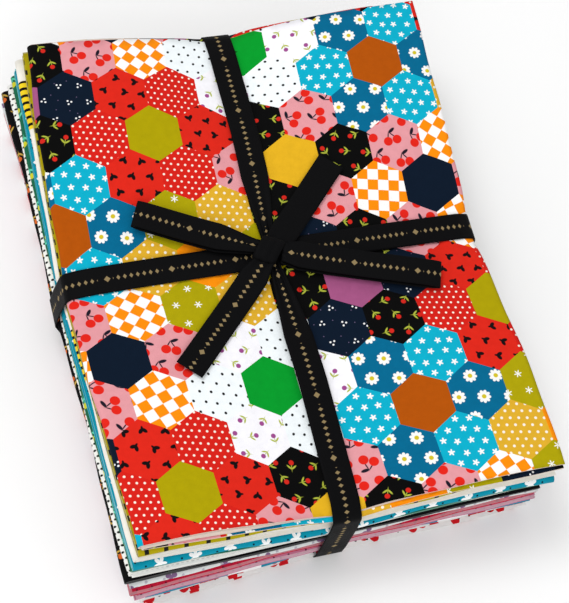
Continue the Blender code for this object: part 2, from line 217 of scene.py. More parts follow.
def on_quarter(quarter, across, along):
    """A place on a folded fat quarter from its shares of the way to the right and to the back."""
    front = corner_of(quarter, 0, 0).lerp(corner_of(quarter, 1, 0), across)
    rear = corner_of(quarter, 0, 1).lerp(corner_of(quarter, 1, 1), across)
    place = front.lerp(rear, along)
    bulge = quarter["bow_left"] * (1 - across) + quarter["bow_right"] * across
    place.x += 4 * along * (1 - along) * bulge * MM
    pulled = 1 - away_from_band(place.x - TIE_CROSSING.x)[0]
    place.y += quarter["waist"] * MM * pulled * max(0.0, 1 - 4.5 * along)
    return place


def under_band_edge(place, from_edge, level):
    """How far the taut ribbon rounds the pile's upper edge down."""
    if from_edge > ROUNDED_REACH:
        return 0.0
    off = min(abs(place.x - TIE_CROSSING.x), abs(place.y - TIE_CROSSING.y))
    pressed = math.exp(-((max(0.0, off - 7 * MM) / (9 * MM)) ** 2))
    return ROUNDED_DEEP * pressed * (1 - from_edge / ROUNDED_REACH) ** 2 * (level / STACK_TALL) ** 2


def fold_lengths(deep):
    """The lengths of the strip's seven stretches, from its top free end to its inner free end."""
    return [deep - OUTER_FOLD, math.pi * OUTER_FOLD, deep - OUTER_FOLD - INNER_FOLD,
            math.pi * INNER_FOLD, deep - OUTER_FOLD - INNER_FOLD, math.pi * INNER_FOLD, deep - OUTER_FOLD]


def folded(run, deep):
    """Where a distance along the strip ends up: in from the fold's edge, and above the underside."""
    heights = [LAYER / 2 + LAYER_STEP * layer for layer in range(4)]
    middle = (heights[0] + heights[3]) / 2
    top, turn, bottom, back_turn, low, inner_turn, _ = fold_lengths(deep)
    if run < top:
        return deep - run, heights[3]
    run -= top
    if run < turn:
        angle = run / OUTER_FOLD
        return OUTER_FOLD * (1 - math.sin(angle)), middle + OUTER_FOLD * math.cos(angle)
    run -= turn
    if run < bottom:
        return OUTER_FOLD + run, heights[0]
    run -= bottom
    if run < back_turn:
        angle = run / INNER_FOLD
        return deep - INNER_FOLD * (1 - math.sin(angle)), heights[0] + INNER_FOLD * (1 - math.cos(angle))
    run -= back_turn
    if run < low:
        return deep - INNER_FOLD - run, heights[1]
    run -= low
    if run < inner_turn:
        angle = run / INNER_FOLD
        return OUTER_FOLD - INNER_FOLD * math.sin(angle), middle - INNER_FOLD * math.cos(angle)
    return OUTER_FOLD + run - inner_turn, heights[2]


def strip_lines(deep, step, ragged):
    """Cross lines of the strip: even on its flat layers, close in its folds."""
    lines = [ragged]
    start = 0.0
    for index, length in enumerate(fold_lengths(deep)):
        flat_stretch = index % 2 == 0
        count = max(1, round(length / step)) if flat_stretch else (12 if index == 1 else 7)
        first = ragged if index == 0 else start
        last = start + length + (ragged if index == 6 else 0.0)
        lines += [first + (last - first) * n / count for n in range(1, count + 1)]
        start += length
    return lines


def flat_strip(deep, wide, step, ragged):
    """The strip laid flat, ready to be cut and printed: X is the deep side's measure, Y its width."""
    cloth = bmesh.new()
    lines = strip_lines(deep, step, ragged)
    count = round(wide / step)
    grid = [[cloth.verts.new((deep - run, wide * n / count, 0)) for n in range(count + 1)] for run in lines]
    for here, ahead in zip(grid, grid[1:]):
        for n in range(count):
            cloth.faces.new((here[n], here[n + 1], ahead[n + 1], ahead[n]))
    return cloth


def fold_up(cloth, quarter, number, deep, wide):
    """Folds the flat strip and presses it into its place in the pile."""
    underside = (len(QUARTERS) - 1 - number) * QUARTER_STEP
    phase = 1.7 * number
    for point in cloth.verts:
        run = deep - point.co.x
        inward, height = folded(run, deep)
        point_across = point.co.y
        sideways = point_across / wide
        skew = SKEW_DEEP * (math.sin(run / 0.11 + phase) + 0.2 * math.sin(run / 0.013 + phase))
        for end in (0, 1):
            nearness = max(0.0, 1 - abs(sideways - end) * wide / SKEW_REACH)
            sideways += skew * nearness ** 2 * math.cos(3.1 * end + phase) / wide
        wave = WAVE_DEEP * (math.sin(point_across / 0.021 + phase)
                            + 0.6 * math.sin(point_across / 0.008 + phase))
        edge_nearness = max(0.0, 1 - min(inward, deep - inward) / WAVE_REACH)
        depth_share = (inward + wave * edge_nearness ** 2) / deep
        if quarter["fold"] == "left":
            place = on_quarter(quarter, depth_share, sideways)
        elif quarter["fold"] == "front":
            place = on_quarter(quarter, 1 - sideways, depth_share)
        else:
            place = on_quarter(quarter, sideways, 1 - depth_share)
        point.co = in_stack(place.x, place.y, underside + height) + stack_corner
        from_edge = max(0.0, min(inward, deep - inward, point_across, wide - point_across))
        point.co.z -= under_band_edge(place, from_edge, underside + height)


def strip_size(quarter):
    """(deep, wide) of a fat quarter's strip: from the fold to the free edge, and along the fold."""
    along_x = quarter["fold"] == "left"
    deep = quarter["wide"] if along_x else quarter["long"]
    wide = quarter["long"] if along_x else quarter["wide"]
    return deep * MM, wide * MM


# The cotton. Plain weave with the colour printed on its right side, matt, with a paler wrong side. Each
# print is drawn in metres on the flat cloth, so it runs round the folds as ink on cloth does.
CLOTH_THICK = 0.95 * MM
THREAD = 0.42 * MM
INK_EDGE = 0.12 * MM
SHOW_THROUGH = 0.3


def new_node(tree, kind, *values, **settings):
    """A shader node with its inputs linked or set in order."""
    made = tree.nodes.new("ShaderNode" + kind)
    for key, value in settings.items():
        setattr(made, key, value)
    for socket, value in zip(made.inputs, values):
        if isinstance(value, bpy.types.NodeSocket):
            tree.links.new(value, socket)
        elif value is not None:
            socket.default_value = value
    return made


def number_of(tree, operation, *values):
    return new_node(tree, "Math", *values, operation=operation).outputs[0]


def vector_of(tree, operation, *values):
    made = new_node(tree, "VectorMath", *values, operation=operation)
    return made.outputs["Value" if operation == "LENGTH" else "Vector"]


def printed(tree, ground, mask, ink):
    """One ink over what is below it."""
    mix = tree.nodes.new("ShaderNodeMix")
    mix.data_type = "RGBA"
    tree.links.new(mask, mix.inputs[0])
    for socket, colour in ((mix.inputs[6], ground), (mix.inputs[7], ink)):
        if isinstance(colour, bpy.types.NodeSocket):
            tree.links.new(colour, socket)
        else:
            socket.default_value = (*colour, 1)
    return mix.outputs[2]


def motif_places(tree, spacing, wander=0.0, spin=1.0, stagger=0.5):
    """The place within the nearest motif, metres from its middle, each motif turned its own way."""
    flat = new_node(tree, "SeparateXYZ", new_node(tree, "UVMap", uv_map="print").outputs[0])
    row_place = number_of(tree, "DIVIDE", flat.outputs[1], spacing[1])
    row = number_of(tree, "FLOOR", row_place)
    odd = number_of(tree, "FLOORED_MODULO", row, 2.0)
    shift = number_of(tree, "MULTIPLY", odd, stagger)
    column_place = number_of(tree, "ADD", number_of(tree, "DIVIDE", flat.outputs[0], spacing[0]), shift)
    column = number_of(tree, "FLOOR", column_place)
    chance = new_node(tree, "TexWhiteNoise", new_node(tree, "CombineXYZ", column, row, 0.0).outputs[0])
    local_x = number_of(tree, "MULTIPLY", number_of(
        tree, "SUBTRACT", number_of(tree, "SUBTRACT", column_place, column), 0.5), spacing[0])
    local_y = number_of(tree, "MULTIPLY", number_of(
        tree, "SUBTRACT", number_of(tree, "SUBTRACT", row_place, row), 0.5), spacing[1])
    local = new_node(tree, "CombineXYZ", local_x, local_y, 0.0).outputs[0]
    if wander:
        drift = vector_of(tree, "SUBTRACT", chance.outputs[1], (0.5, 0.5, 0.5))
        drift = vector_of(tree, "MULTIPLY", drift, (wander, wander, 0.0))
        local = vector_of(tree, "ADD", local, drift)
    if spin:
        angle = number_of(tree, "MULTIPLY", chance.outputs[0], 2 * math.pi * spin)
        turned = new_node(tree, "VectorRotate", rotation_type="Z_AXIS")
        tree.links.new(local, turned.inputs["Vector"])
        tree.links.new(angle, turned.inputs["Angle"])
        local = turned.outputs[0]
    return local


def inside(tree, reach, size):
    """1 where reach is under size, with an inked edge's slight softness."""
    edge = new_node(tree, "MapRange", reach)
    for key, value in (("From Min", INK_EDGE), ("From Max", -INK_EDGE), ("To Min", 0.0), ("To Max", 1.0)):
        edge.inputs[key].default_value = value
    tree.links.new(number_of(tree, "SUBTRACT", reach, size), edge.inputs["Value"])
    return edge.outputs[0]


def blob(tree, local, middle, size, lean=0.0):
    """A filled ellipse: middle and half sizes in metres, leaning by an angle."""
    moved = vector_of(tree, "SUBTRACT", local, (*middle, 0.0))
    if lean:
        turned = new_node(tree, "VectorRotate", rotation_type="Z_AXIS")
        tree.links.new(moved, turned.inputs["Vector"])
        turned.inputs["Angle"].default_value = -lean
        moved = turned.outputs[0]
    small = min(size)
    moved = vector_of(tree, "MULTIPLY", moved, (small / size[0], small / size[1], 0.0))
    return inside(tree, vector_of(tree, "LENGTH", moved), small)


def rayed(tree, local, rays, inner, outer, sharp):
    """A flower or star: its rim swings between two radii."""
    parts = new_node(tree, "SeparateXYZ", local)
    angle = number_of(tree, "ARCTAN2", parts.outputs[1], parts.outputs[0])
    wave = number_of(tree, "COSINE", number_of(tree, "MULTIPLY", angle, rays / 2))
    swing = number_of(tree, "ABSOLUTE", wave)
    swing = number_of(tree, "POWER", swing, sharp)
    rim = number_of(tree, "ADD", number_of(tree, "MULTIPLY", swing, outer - inner), inner)
    return inside(tree, vector_of(tree, "LENGTH", local), rim)


def joined(tree, *masks):
    """The masks laid together."""
    whole = masks[0]
    for mask in masks[1:]:
        whole = number_of(tree, "MAXIMUM", whole, mask)
    return whole


def cotton(name, ground, draw=None, wrong_side=None):
    """A printed cotton. draw(tree, ground) adds its motifs and gives back the colour.

    On a wrong side its own colour covers most of the print, which shows through a little.
    """
    cloth = bpy.data.materials.new(name)
    cloth.use_nodes = True
    tree = cloth.node_tree
    shader = tree.nodes["Principled BSDF"]
    colour = draw(tree, ground) if draw else ground
    if wrong_side:
        cover = tree.nodes.new("ShaderNodeMix")
        cover.data_type = "RGBA"
        cover.inputs[0].default_value = 1 - SHOW_THROUGH
        tree.links.new(colour, cover.inputs[6])
        cover.inputs[7].default_value = (*wrong_side, 1)
        colour = cover.outputs[2]
    weave_place = new_node(tree, "UVMap", uv_map="weave").outputs[0]
    slub = new_node(tree, "TexNoise", weave_place)
    slub.inputs["Scale"].default_value = 260
    slub.inputs["Detail"].default_value = 3
    shade = new_node(tree, "MapRange", slub.outputs[0])
    shade.inputs["To Min"].default_value = 0.9
    shade.inputs["To Max"].default_value = 1.08
    tone = vector_of(tree, "SCALE", colour)
    tree.links.new(shade.outputs[0], tone.node.inputs["Scale"])
    tree.links.new(tone, shader.inputs["Base Color"])
    threads = new_node(tree, "SeparateXYZ", vector_of(
        tree, "MULTIPLY", weave_place, (math.pi / THREAD, math.pi / THREAD, 0.0)))
    warp = number_of(tree, "SINE", threads.outputs[0])
    weft = number_of(tree, "SINE", threads.outputs[1])
    weave = number_of(tree, "ADD", number_of(tree, "MULTIPLY", warp, weft), slub.outputs[0])
    bump = new_node(tree, "Bump")
    bump.inputs["Strength"].default_value = 0.35
    bump.inputs["Distance"].default_value = 0.0001
    tree.links.new(weave, bump.inputs["Height"])
    tree.links.new(bump.outputs[0], shader.inputs["Normal"])
    shader.inputs["Roughness"].default_value = 0.9
    shader.inputs["Specular IOR Level"].default_value = 0.06
    shader.inputs["Sheen Weight"].default_value = 0.01
    return cloth


# Points of the cloth under each band, (along, height), which the bands are drawn round
beside_bands = ([], [])


def finish_quarter(cloth, quarter, number, deep, wide, materials):
    fold_up(cloth, quarter, number, deep, wide)
    for point in cloth.verts:
        place = point.co - stack_corner
        for axis in (0, 1):
            if abs(place[1 - axis] - TIE_CROSSING[1 - axis]) < 10 * MM:
                beside_bands[axis].append((place[axis], place.z))
    mesh = bpy.data.meshes.new("cloth_" + quarter["node"][-2:])
    cloth.to_mesh(mesh)
    cloth.free()
    mesh.shade_smooth()
    for finish in materials:
        mesh.materials.append(finish)
    piece = bpy.data.objects.new(mesh.name, mesh)
    bpy.context.collection.objects.link(piece)
    body = piece.modifiers.new("cloth thickness", "SOLIDIFY")
    body.thickness = CLOTH_THICK
    body.offset = 0.0
    body.material_offset = len(materials)
    body.material_offset_rim = len(materials)
    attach(piece, "root")
    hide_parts(quarter["node"])
    return piece


# The top fat quarter. Its print is hexagon patchwork in flower rosettes, seven patches each: a plain
# middle and a ring of two small prints by turns. Every patch lies where a quilter would piece it, each
# turned its own way.
PATCH_WIDE = 28.9 * MM
PATCH_ROW = PATCH_WIDE * math.sqrt(3) / 2
PATCH_START = Vector((31 * MM, 22 * MM))


def white_dots(tree, ground, spacing=4.4 * MM, size=0.74 * MM):
    local = motif_places(tree, (spacing, spacing * 0.87), spin=0)
    return printed(tree, ground, blob(tree, local, (0, 0), (size, size)), (0.9, 0.85, 0.74))


def fine_dots(tree, ground):
    return white_dots(tree, ground, 3.8 * MM, 0.62 * MM)


def black_dots(tree, ground):
    local = motif_places(tree, (6.4 * MM, 5.2 * MM), wander=1.2 * MM, spin=0)
    return printed(tree, ground, blob(tree, local, (0, 0), (0.8 * MM, 0.7 * MM)), (0.01, 0.01, 0.01))


def leaf_pairs(tree, ground):
    local = motif_places(tree, (10.4 * MM, 8.4 * MM), wander=1.4 * MM, spin=0.3)
    sprig = joined(tree, blob(tree, local, (-0.9 * MM, 0.3 * MM), (1.0 * MM, 1.7 * MM), 0.75),
                   blob(tree, local, (0.9 * MM, 0.3 * MM), (1.0 * MM, 1.7 * MM), -0.75),
                   blob(tree, local, (0, -1.1 * MM), (0.6 * MM, 1.2 * MM)))
    return printed(tree, ground, sprig, (0.006, 0.004, 0.005))


def white_stars(tree, ground):
    local = motif_places(tree, (12.5 * MM, 9.5 * MM), wander=1.8 * MM)
    return printed(tree, ground, rayed(tree, local, 6, 0.5 * MM, 2.1 * MM, 2.6), (0.9, 0.9, 0.84))


def berries(tree, ground, fruit, leaf, size=1.0):
    local = motif_places(tree, (10.5 * MM, 9.5 * MM), wander=1.6 * MM)
    unit = size * MM
    leaves = joined(
        tree,
        blob(tree, local, (-0.95 * unit, -1.0 * unit), (0.36 * unit, 1.25 * unit), 0.85),
        blob(tree, local, (0.95 * unit, -1.0 * unit), (0.36 * unit, 1.25 * unit), -0.85),
        blob(tree, local, (0, -1.1 * unit), (0.17 * unit, 1.5 * unit)))
    green = printed(tree, ground, leaves, leaf)
    return printed(tree, green, blob(tree, local, (0, 0.95 * unit), (1.05 * unit, 1.05 * unit)), fruit)


def red_berries(tree, ground):
    return berries(tree, ground, (0.62, 0.02, 0.012), (0.42, 0.47, 0.05), 1.25)


def plum_berries(tree, ground):
    return berries(tree, ground, (0.33, 0.07, 0.26), (0.40, 0.45, 0.03), 1.2)


def cherries(tree, ground):
    local = motif_places(tree, (13.6 * MM, 11.8 * MM), wander=0.8 * MM, spin=0.12)
    stems = joined(tree, blob(tree, local, (-1.2 * MM, 1.8 * MM), (0.34 * MM, 2.5 * MM), -0.5),
                   blob(tree, local, (1.2 * MM, 1.5 * MM), (0.34 * MM, 2.6 * MM), 0.55),
                   blob(tree, local, (1.8 * MM, 4.0 * MM), (0.9 * MM, 2.2 * MM), -1.2))
    fruit = joined(tree, blob(tree, local, (-2.5 * MM, -1.1 * MM), (2.5 * MM, 2.5 * MM)),
                   blob(tree, local, (2.6 * MM, -1.8 * MM), (2.5 * MM, 2.5 * MM)))
    return printed(tree, printed(tree, ground, stems, (0.012, 0.01, 0.02)), fruit, (0.72, 0.018, 0.01))


def dot_clusters(tree, ground):
    local = motif_places(tree, (11.5 * MM, 10.0 * MM), wander=2.0 * MM)
    dots = [blob(tree, local, (1.15 * MM * math.cos(turn), 1.15 * MM * math.sin(turn)), (0.5 * MM, 0.5 * MM))
            for turn in (0.5, 2.6, 4.7)]
    fine = motif_places(tree, (7.0 * MM, 9.0 * MM), wander=4.0 * MM)
    specks = printed(tree, ground, blob(tree, fine, (0, 0), (0.25 * MM, 0.25 * MM)), (0.16, 0.12, 0.22))
    return printed(tree, specks, joined(tree, *dots), (0.86, 0.86, 0.86))


def daisies(tree, ground):
    local = motif_places(tree, (13.2 * MM, 11.4 * MM), wander=1.0 * MM)
    petals = printed(tree, ground, rayed(tree, local, 9, 2.3 * MM, 3.6 * MM, 0.6), (0.88, 0.88, 0.86))
    return printed(tree, petals, blob(tree, local, (0, 0), (1.2 * MM, 1.2 * MM)), (0.62, 0.5, 0.02))


def small_stars(tree, ground):
    local = motif_places(tree, (7.2 * MM, 6.2 * MM), wander=1.0 * MM)
    return printed(tree, ground, rayed(tree, local, 5, 0.7 * MM, 1.8 * MM, 1.6), (0.9, 0.9, 0.88))


def checks(tree, ground):
    local = motif_places(tree, (11.6 * MM, 5.8 * MM), spin=0, stagger=0.5)
    half = 2.9 * MM
    parts = new_node(tree, "SeparateXYZ", local)
    wide = number_of(tree, "ABSOLUTE", parts.outputs[0])
    square = inside(tree, wide, half)
    return printed(tree, ground, square, (0.92, 0.26, 0.003))


PATCHES = [
    ("plum", (0.35, 0.086, 0.215), None),
    ("orange", (0.92, 0.27, 0.003), None),
    ("olive", (0.40, 0.33, 0.001), None),
    ("green", (0.001, 0.31, 0.024), None),
    ("rust", (0.42, 0.08, 0.002), None),
    ("navy", (0.003, 0.009, 0.022), None),
    ("gold", (0.74, 0.42, 0.015), None),
    ("red dot", (0.64, 0.015, 0.009), fine_dots),
    ("red leaf", (0.69, 0.020, 0.010), leaf_pairs),
    ("gold dot", (0.70, 0.40, 0.026), white_dots),
    ("olive star", (0.40, 0.34, 0.002), white_stars),
    ("white dot", (0.86, 0.91, 0.93), black_dots),
    ("white berry", (0.90, 0.89, 0.93), plum_berries),
    ("black berry", (0.002, 0.002, 0.002), red_berries),
    ("navy dot", (0.003, 0.009, 0.022), dot_clusters),
    ("blue daisy", (0.001, 0.13, 0.26), daisies),
    ("cyan star", (0.003, 0.40, 0.56), small_stars),
    ("pink cherry", (0.73, 0.31, 0.34), cherries),
    ("check", (0.93, 0.92, 0.91), checks),
]
ROSETTE_COLUMNS = "middle ring_one ring_two"
ROSETTES = [dict(zip(ROSETTE_COLUMNS.split(), row)) for row in (
    ("olive", "red leaf", "red dot"),
    ("plum", "navy dot", "black berry"),
    ("orange", "olive star", "gold dot"),
    ("rust", "blue daisy", "cyan star"),
    ("green", "white berry", "white dot"),
    ("navy", "pink cherry", "check"),
    ("gold", "black berry", "pink cherry"),
)]


def nearest_patch(place):
    """Column and row of the patch that a place on the flat cloth is in."""
    off = place - PATCH_START
    row = off.y / PATCH_ROW
    column = off.x / PATCH_WIDE - row / 2
    best = None
    for near_row in (math.floor(row), math.floor(row) + 1):
        for near_column in (math.floor(column), math.floor(column) + 1):
            gap = (off - patch_middle(near_column, near_row) + PATCH_START).length
            if best is None or gap < best[0]:
                best = (gap, near_column, near_row)
    return best[1:]


def patch_middle(column, row):
    return PATCH_START + Vector((PATCH_WIDE * (column + row / 2), PATCH_ROW * row))


def patch_kind(column, row):
    """Which fabric a patch is, from its place in its rosette."""
    place_in_rosette = (column + 3 * row) % 7
    steps = {0: (0, 0), 1: (1, 0), 3: (0, 1), 2: (-1, 1), 6: (-1, 0), 4: (0, -1), 5: (1, -1)}
    middle_column = column - steps[place_in_rosette][0]
    middle_row = row - steps[place_in_rosette][1]
    up = (3 * middle_row + middle_column) // 7
    rosette = ROSETTES[(up * 2 + middle_row) % len(ROSETTES)]
    if place_in_rosette == 0:
        return rosette["middle"]
    return rosette["ring_one" if place_in_rosette in (1, 2, 4) else "ring_two"]


def cut_into_patches(cloth):
    """Cuts the flat cloth along the patches' edges, which all lie on three sets of even lines."""
    corners = [Vector(point.co.xy) - PATCH_START for point in cloth.verts]
    for turn in (0, 60, 120):
        across = Vector((math.cos(math.radians(turn)), math.sin(math.radians(turn))))
        reach = [place.dot(across) for place in corners]
        first = math.ceil(min(reach) / (PATCH_WIDE / 2))
        last = math.floor(max(reach) / (PATCH_WIDE / 2))
        for line in range(first, last + 1):
            on_line = PATCH_START + across * line * PATCH_WIDE / 2
            bmesh.ops.bisect_plane(cloth, geom=cloth.verts[:] + cloth.edges[:] + cloth.faces[:],
                                   plane_co=(*on_line, 0), plane_no=(*across, 0), dist=0.00001)


def print_patches(cloth):
    """Gives every face its patch's fabric and lays the print on it, turned by sixths."""
    kinds = [patch[0] for patch in PATCHES]
    print_map = cloth.loops.layers.uv.new("print")
    weave_map = cloth.loops.layers.uv.new("weave")
    for face in cloth.faces:
        column, row = nearest_patch(face.calc_center_median().xy)
        face.material_index = kinds.index(patch_kind(column, row))
        middle = patch_middle(column, row)
        turned = Matrix.Rotation(math.radians(60 * ((3 * column + 5 * row) % 6) + 11), 2)
        for loop in face.loops:
            flat = Vector(loop.vert.co.xy)
            loop[weave_map].uv = flat
            loop[print_map].uv = turned @ (flat - middle) + middle + Vector((0.7, 0.9)) * (column % 5)


top_quarter = QUARTERS[0]
top_deep, top_wide = strip_size(top_quarter)
patchwork = flat_strip(top_deep, top_wide, 5.5 * MM, 0.0)
cut_into_patches(patchwork)
print_patches(patchwork)
patch_cottons = [cotton("cotton " + name, ground, draw) for name, ground, draw in PATCHES]
patchwork_wrong_side = cotton("cotton patchwork wrong side", (0.72, 0.60, 0.52))
top_cloth = finish_quarter(patchwork, top_quarter, 0, top_deep, top_wide,
                           patch_cottons + [patchwork_wrong_side])


# The eleven fat quarters below it, each one small print on plain woven cotton. Only their folds and
# cut edges show, a few millimetres of each, with the paler wrong side between the layers. Where a row
# gives no colour for the wrong side, the ink has gone right through.
def black_bars(tree, ground):
    local = motif_places(tree, (7.0 * MM, 5.0 * MM), wander=1.5 * MM, spin=0)
    parts = new_node(tree, "SeparateXYZ", local)
    bar = number_of(tree, "MULTIPLY", inside(tree, number_of(tree, "ABSOLUTE", parts.outputs[0]), 1.5 * MM),
                    inside(tree, number_of(tree, "ABSOLUTE", parts.outputs[1]), 1.1 * MM))
    return printed(tree, ground, bar, (0.012, 0.012, 0.012))


def yellow_stripes(tree, ground):
    local = motif_places(tree, (96 * MM, 74 * MM), wander=12 * MM, spin=0.1)
    parts = new_node(tree, "SeparateXYZ", local)
    patch = blob(tree, local, (0, 0), (22 * MM, 15 * MM))
    ripple = number_of(tree, "SINE", number_of(tree, "DIVIDE", parts.outputs[1], 0.7 * MM))
    stripes = number_of(tree, "MULTIPLY", number_of(tree, "GREATER_THAN", ripple, 0.35), patch)
    yellow = printed(tree, ground, patch, (0.85, 0.62, 0.02))
    return printed(tree, yellow, stripes, (0.008, 0.007, 0.006))


def stars_and_dots(tree, ground):
    dots = motif_places(tree, (5.4 * MM, 4.6 * MM), wander=0.8 * MM, spin=0)
    dotted = printed(tree, ground, blob(tree, dots, (0, 0), (0.55 * MM, 0.55 * MM)), (0.004, 0.012, 0.02))
    local = motif_places(tree, (13 * MM, 9 * MM), wander=2.0 * MM)
    return printed(tree, dotted, rayed(tree, local, 5, 1.3 * MM, 3.4 * MM, 1.2), (0.88, 0.9, 0.9))


def lime_sprigs(tree, ground):
    return berries(tree, ground, (0.60, 0.58, 0.03), (0.12, 0.62, 0.40), 1.5)


def gold_sprigs(tree, ground):
    return berries(tree, ground, (0.62, 0.12, 0.02), (0.52, 0.33, 0.06), 1.3)


def black_dashes(tree, ground):
    local = motif_places(tree, (2.6 * MM, 3.4 * MM), wander=0.3 * MM, spin=0.06)
    return printed(tree, ground, blob(tree, local, (0, 0), (0.95 * MM, 0.6 * MM)), (0.005, 0.005, 0.005))


def pale_dots(tree, ground):
    local = motif_places(tree, (6.0 * MM, 5.0 * MM), wander=1.0 * MM, spin=0)
    dotted = printed(tree, ground, blob(tree, local, (0, 0), (0.8 * MM, 0.8 * MM)), (0.42, 0.40, 0.46))
    sparse = motif_places(tree, (19 * MM, 13 * MM), wander=6 * MM)
    return printed(tree, dotted, rayed(tree, sparse, 3, 1.0 * MM, 3.4 * MM, 1.0), (0.20, 0.11, 0.22))


def deep_red_lines(tree, ground):
    local = motif_places(tree, (9 * MM, 4 * MM), wander=1.0 * MM, spin=0.5)
    return printed(tree, ground, blob(tree, local, (0, 0), (2.4 * MM, 0.7 * MM)), (0.16, 0.004, 0.02))


def dark_dots(tree, ground):
    local = motif_places(tree, (5.2 * MM, 4.4 * MM), wander=1.0 * MM, spin=0)
    return printed(tree, ground, blob(tree, local, (0, 0), (0.55 * MM, 0.55 * MM)), (0.13, 0.02, 0.06))


def white_blocks(tree, ground):
    local = motif_places(tree, (58 * MM, 30 * MM), wander=6 * MM, spin=0)
    return printed(tree, ground, blob(tree, local, (0, 0), (15 * MM, 9 * MM)), (0.82, 0.82, 0.82))


def red_blobs(tree, ground):
    local = motif_places(tree, (25 * MM, 11 * MM), wander=3 * MM)
    blobs = printed(tree, ground, rayed(tree, local, 5, 4 * MM, 7.5 * MM, 0.8), (0.58, 0.010, 0.016))
    fine = motif_places(tree, (6.0 * MM, 5.0 * MM), wander=1.0 * MM, spin=0)
    return printed(tree, blobs, blob(tree, fine, (0, 0), (0.7 * MM, 0.7 * MM)), (0.02, 0.008, 0.01))


PRINT_COLUMNS = "slot ground draw wrong_side"
LOWER_PRINTS = [dict(zip(PRINT_COLUMNS.split(), row)) for row in (
    ("cotton_olive", (0.42, 0.34, 0.004), black_bars, (0.53, 0.48, 0.24)),
    ("cotton_cream", (0.84, 0.81, 0.74), yellow_stripes, (0.83, 0.81, 0.76)),
    ("cotton_teal_star", (0.004, 0.28, 0.40), stars_and_dots, (0.28, 0.60, 0.60)),
    ("cotton_green", (0.012, 0.13, 0.065), lime_sprigs, (0.20, 0.36, 0.29)),
    ("cotton_dash", (0.86, 0.86, 0.82), black_dashes, (0.84, 0.84, 0.81)),
    ("cotton_black", (0.004, 0.004, 0.0045), gold_sprigs, (0.10, 0.10, 0.10)),
    ("cotton_grey", (0.66, 0.68, 0.68), pale_dots, (0.73, 0.74, 0.74)),
    ("cotton_crimson", (0.52, 0.010, 0.04), deep_red_lines, (0.63, 0.30, 0.34)),
    ("cotton_mauve", (0.52, 0.17, 0.27), dark_dots, (0.66, 0.47, 0.53)),
    ("cotton_teal", (0.006, 0.23, 0.36), white_blocks, (0.24, 0.40, 0.49)),
    ("cotton_red_dot", (0.80, 0.77, 0.76), red_blobs, None),
)]

for number, (quarter, design) in enumerate(zip(QUARTERS[1:], LOWER_PRINTS), start=1):
    deep, wide = strip_size(quarter)
    strip = flat_strip(deep, wide, 8 * MM, RAGGED * math.sin(math.radians(137.5) * number))
    print_map = strip.loops.layers.uv.new("print")
    weave_map = strip.loops.layers.uv.new("weave")
    for face in strip.faces:
        for loop in face.loops:
            loop[print_map].uv = loop.vert.co.xy
            loop[weave_map].uv = loop.vert.co.xy
    right_side = cotton(design["slot"].replace("_", " "), design["ground"], design["draw"])
    wrong_side = cotton(design["slot"].replace("_", " ") + " wrong side", design["ground"], design["draw"],
                        design["wrong_side"])
    cloth = finish_quarter(strip, quarter, number, deep, wide, [right_side, wrong_side])

# The tie. One length of flat black ribbon, 15 mm wide, goes round the pile both ways, is knotted on
# top and finished in a bow with two loops and two square-cut tails. Small gold lozenges are printed
# along the middle of its right side.
RIBBON_WIDE = 15.2 * MM
RIBBON_THICK = 0.4 * MM
SKIM = 0.12 * MM
RIBBON_OUT = CLOTH_THICK / 2 + SKIM + RIBBON_THICK / 2 + 0.25 * MM
LOZENGE_STEP = 3.4 * MM
GROUP_LONG = 34 * MM
ROW_MIDDLE = 15.3 * MM
ROW_HALF = 13 * MM
LARGE_MIDDLE = 31.3 * MM


def gold_lozenges(tree):
    """The ribbon's print: a row of small lozenges with a larger one between the groups."""
    flat = new_node(tree, "SeparateXYZ", new_node(tree, "UVMap", uv_map="ribbon").outputs[0])
    group = number_of(tree, "FLOORED_MODULO", flat.outputs[0], GROUP_LONG)
    across = number_of(tree, "ABSOLUTE", flat.outputs[1])
    step = number_of(tree, "FLOORED_MODULO", group, LOZENGE_STEP)
    from_middle = number_of(tree, "ABSOLUTE", number_of(tree, "SUBTRACT", step, LOZENGE_STEP / 2))
    flattened = number_of(tree, "MULTIPLY", across, 0.75)
    small = inside(tree, number_of(tree, "ADD", flattened, from_middle), 1.0 * MM)
    off_row = number_of(tree, "ABSOLUTE", number_of(tree, "SUBTRACT", group, ROW_MIDDLE))
    in_row = inside(tree, off_row, ROW_HALF)
    apart = number_of(tree, "ABSOLUTE", number_of(tree, "SUBTRACT", group, LARGE_MIDDLE))
    large = inside(tree, number_of(tree, "ADD", across, apart), 1.7 * MM)
    return joined(tree, number_of(tree, "MULTIPLY", small, in_row), large)


